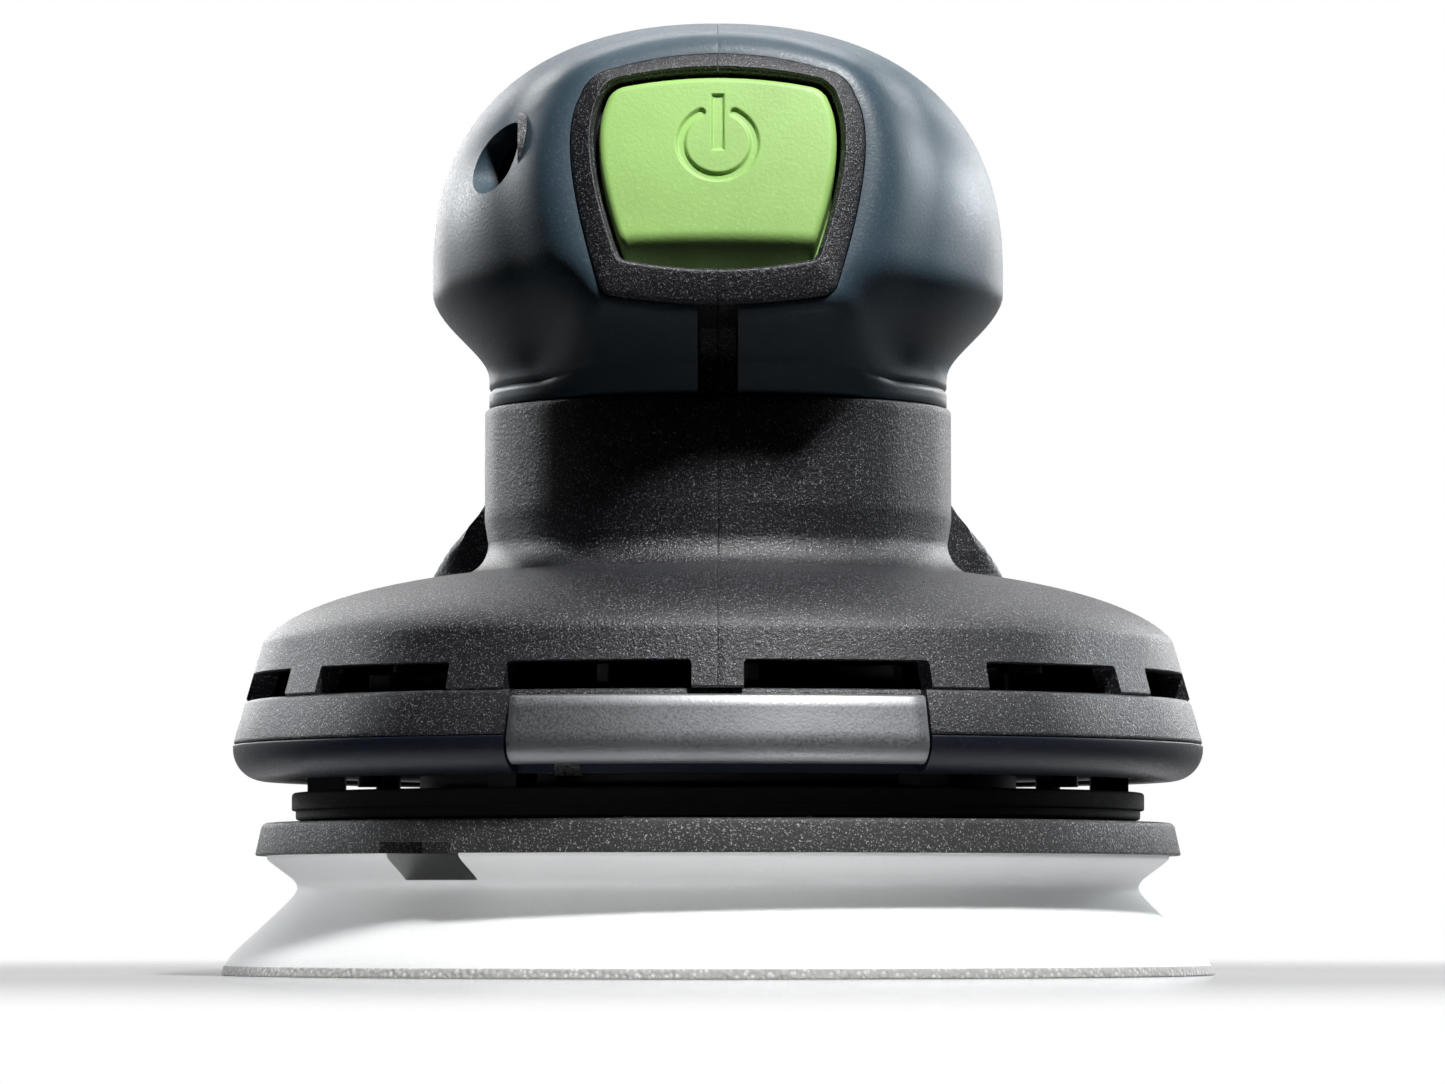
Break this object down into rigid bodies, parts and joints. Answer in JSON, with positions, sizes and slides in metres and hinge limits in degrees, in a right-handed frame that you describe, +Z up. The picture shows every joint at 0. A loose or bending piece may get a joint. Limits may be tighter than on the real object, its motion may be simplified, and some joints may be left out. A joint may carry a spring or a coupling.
{
  "type": "random orbital sander",
  "caption": "Compact brushless random orbital sander with a soft palm grip, front power button, ventilated round base, foam sanding pad, rear dust spigot and power inlet.",
  "frame": {"origin": "on the motor's axis, in the plane of the pad's sanding face", "axes": "+Z up along the motor axis, -Y towards the front with the power button, +Y along the dust spigot, +X to the right of someone who faces the button"},
  "size_m": [0.125, 0.18, 0.12],
  "materials": {
    "hook_fabric": "short dense hooks",
    "white_foam": "moulded closed-cell foam skin",
    "pad_plastic": "coarse sparkling texture",
    "steel": "ground",
    "dark_steel": "phosphated",
    "brass": "turned",
    "fan_plastic": "glass filled",
    "core_steel": "stacked laminations",
    "magnet": "nickel plated",
    "copper": "enamelled winding",
    "black_shell": "spark-eroded texture with fine sparkle",
    "blue_grip": "soft satin overmould",
    "navy_bumper": "satin soft plastic",
    "silver_plate": "satin metallic, blank",
    "black_plastic": "fine texture",
    "black_rubber": "matt",
    "cast_alloy": "die cast",
    "board_green": "solder resist",
    "capacitor_sleeve": "shrink sleeve",
    "lead_red": "insulated wire",
    "lead_brown": "insulated wire",
    "button_green": "fine even texture",
    "potentiometer_blue": "moulded"
  },
  "bodies": {
    "housing": {"housing_left": "black_shell", "housing_right": "black_shell", "grip_left": "blue_grip", "grip_right": "blue_grip", "base_ring": "black_shell", "bumper_ring": "navy_bumper", "bumper_clips": "steel", "name_plate": "silver_plate", "fan_shroud": "black_plastic", "shroud_screws": "dark_steel", "brake_collar": "black_rubber", "bearing_bracket": "cast_alloy", "bracket_screws": "dark_steel", "lower_bearing": "steel", "bearing_cap": "black_plastic", "upper_bearing": "steel", "stator_core": "core_steel", "stator_coils": "copper", "hall_board": "board_green", "motor_leads": "lead_red", "control_board": "board_green", "capacitors": "capacitor_sleeve", "heat_sink": "cast_alloy", "power_transistors": "black_plastic", "filter_choke": "copper", "switch_spring": "steel", "switch_gasket": "black_rubber", "switch_carrier": "black_plastic", "micro_switch": "black_plastic", "switch_leads": "lead_brown", "speed_potentiometer": "potentiometer_blue", "power_socket": "black_plastic", "socket_contacts": "brass", "power_leads": "lead_brown", "dust_duct": "black_plastic", "dust_spigot": "black_plastic", "spigot_seal": "black_rubber", "housing_screws": "dark_steel"},
    "pad": {"pad_hook_layer": "hook_fabric", "pad_foam": "white_foam", "pad_plate": "pad_plastic", "pad_stud": "steel", "pad_spindle": "steel", "spindle_circlip": "dark_steel"},
    "rotor": {"motor_shaft": "steel", "eccentric_hub": "dark_steel", "pad_bearing": "steel", "counterweight": "brass", "counterweight_screws": "dark_steel", "fan_impeller": "fan_plastic", "rotor_core": "core_steel", "rotor_magnets": "magnet"},
    "button": {"switch_button": "button_green"},
    "dial": {"speed_dial": "black_plastic"}
  },
  "joints": [
    {"name": "motor_spin", "type": "hinge", "parent": "housing", "child": "rotor", "pos_m": [0, 0, 0.05], "axis": [0, 0, 1], "continuous": true},
    {"name": "pad_spin", "type": "hinge", "parent": "rotor", "child": "pad", "pos_m": [0, -0.0015, 0.028], "axis": [0, 0, 1], "continuous": true},
    {"name": "button_press", "type": "slide", "parent": "housing", "child": "button", "axis": [0, 0.9613, -0.2756], "range_m": [0, 0.0012], "stiffness_N_per_m": 800, "springref_m": -0.002, "deforming": ["switch_spring"]},
    {"name": "dial_turn", "type": "hinge", "parent": "housing", "child": "dial", "pos_m": [0.0295, 0.052, 0.0482], "axis": [-0.5402, 0, 0.8415], "range_deg": [-135, 135]}
  ]
}
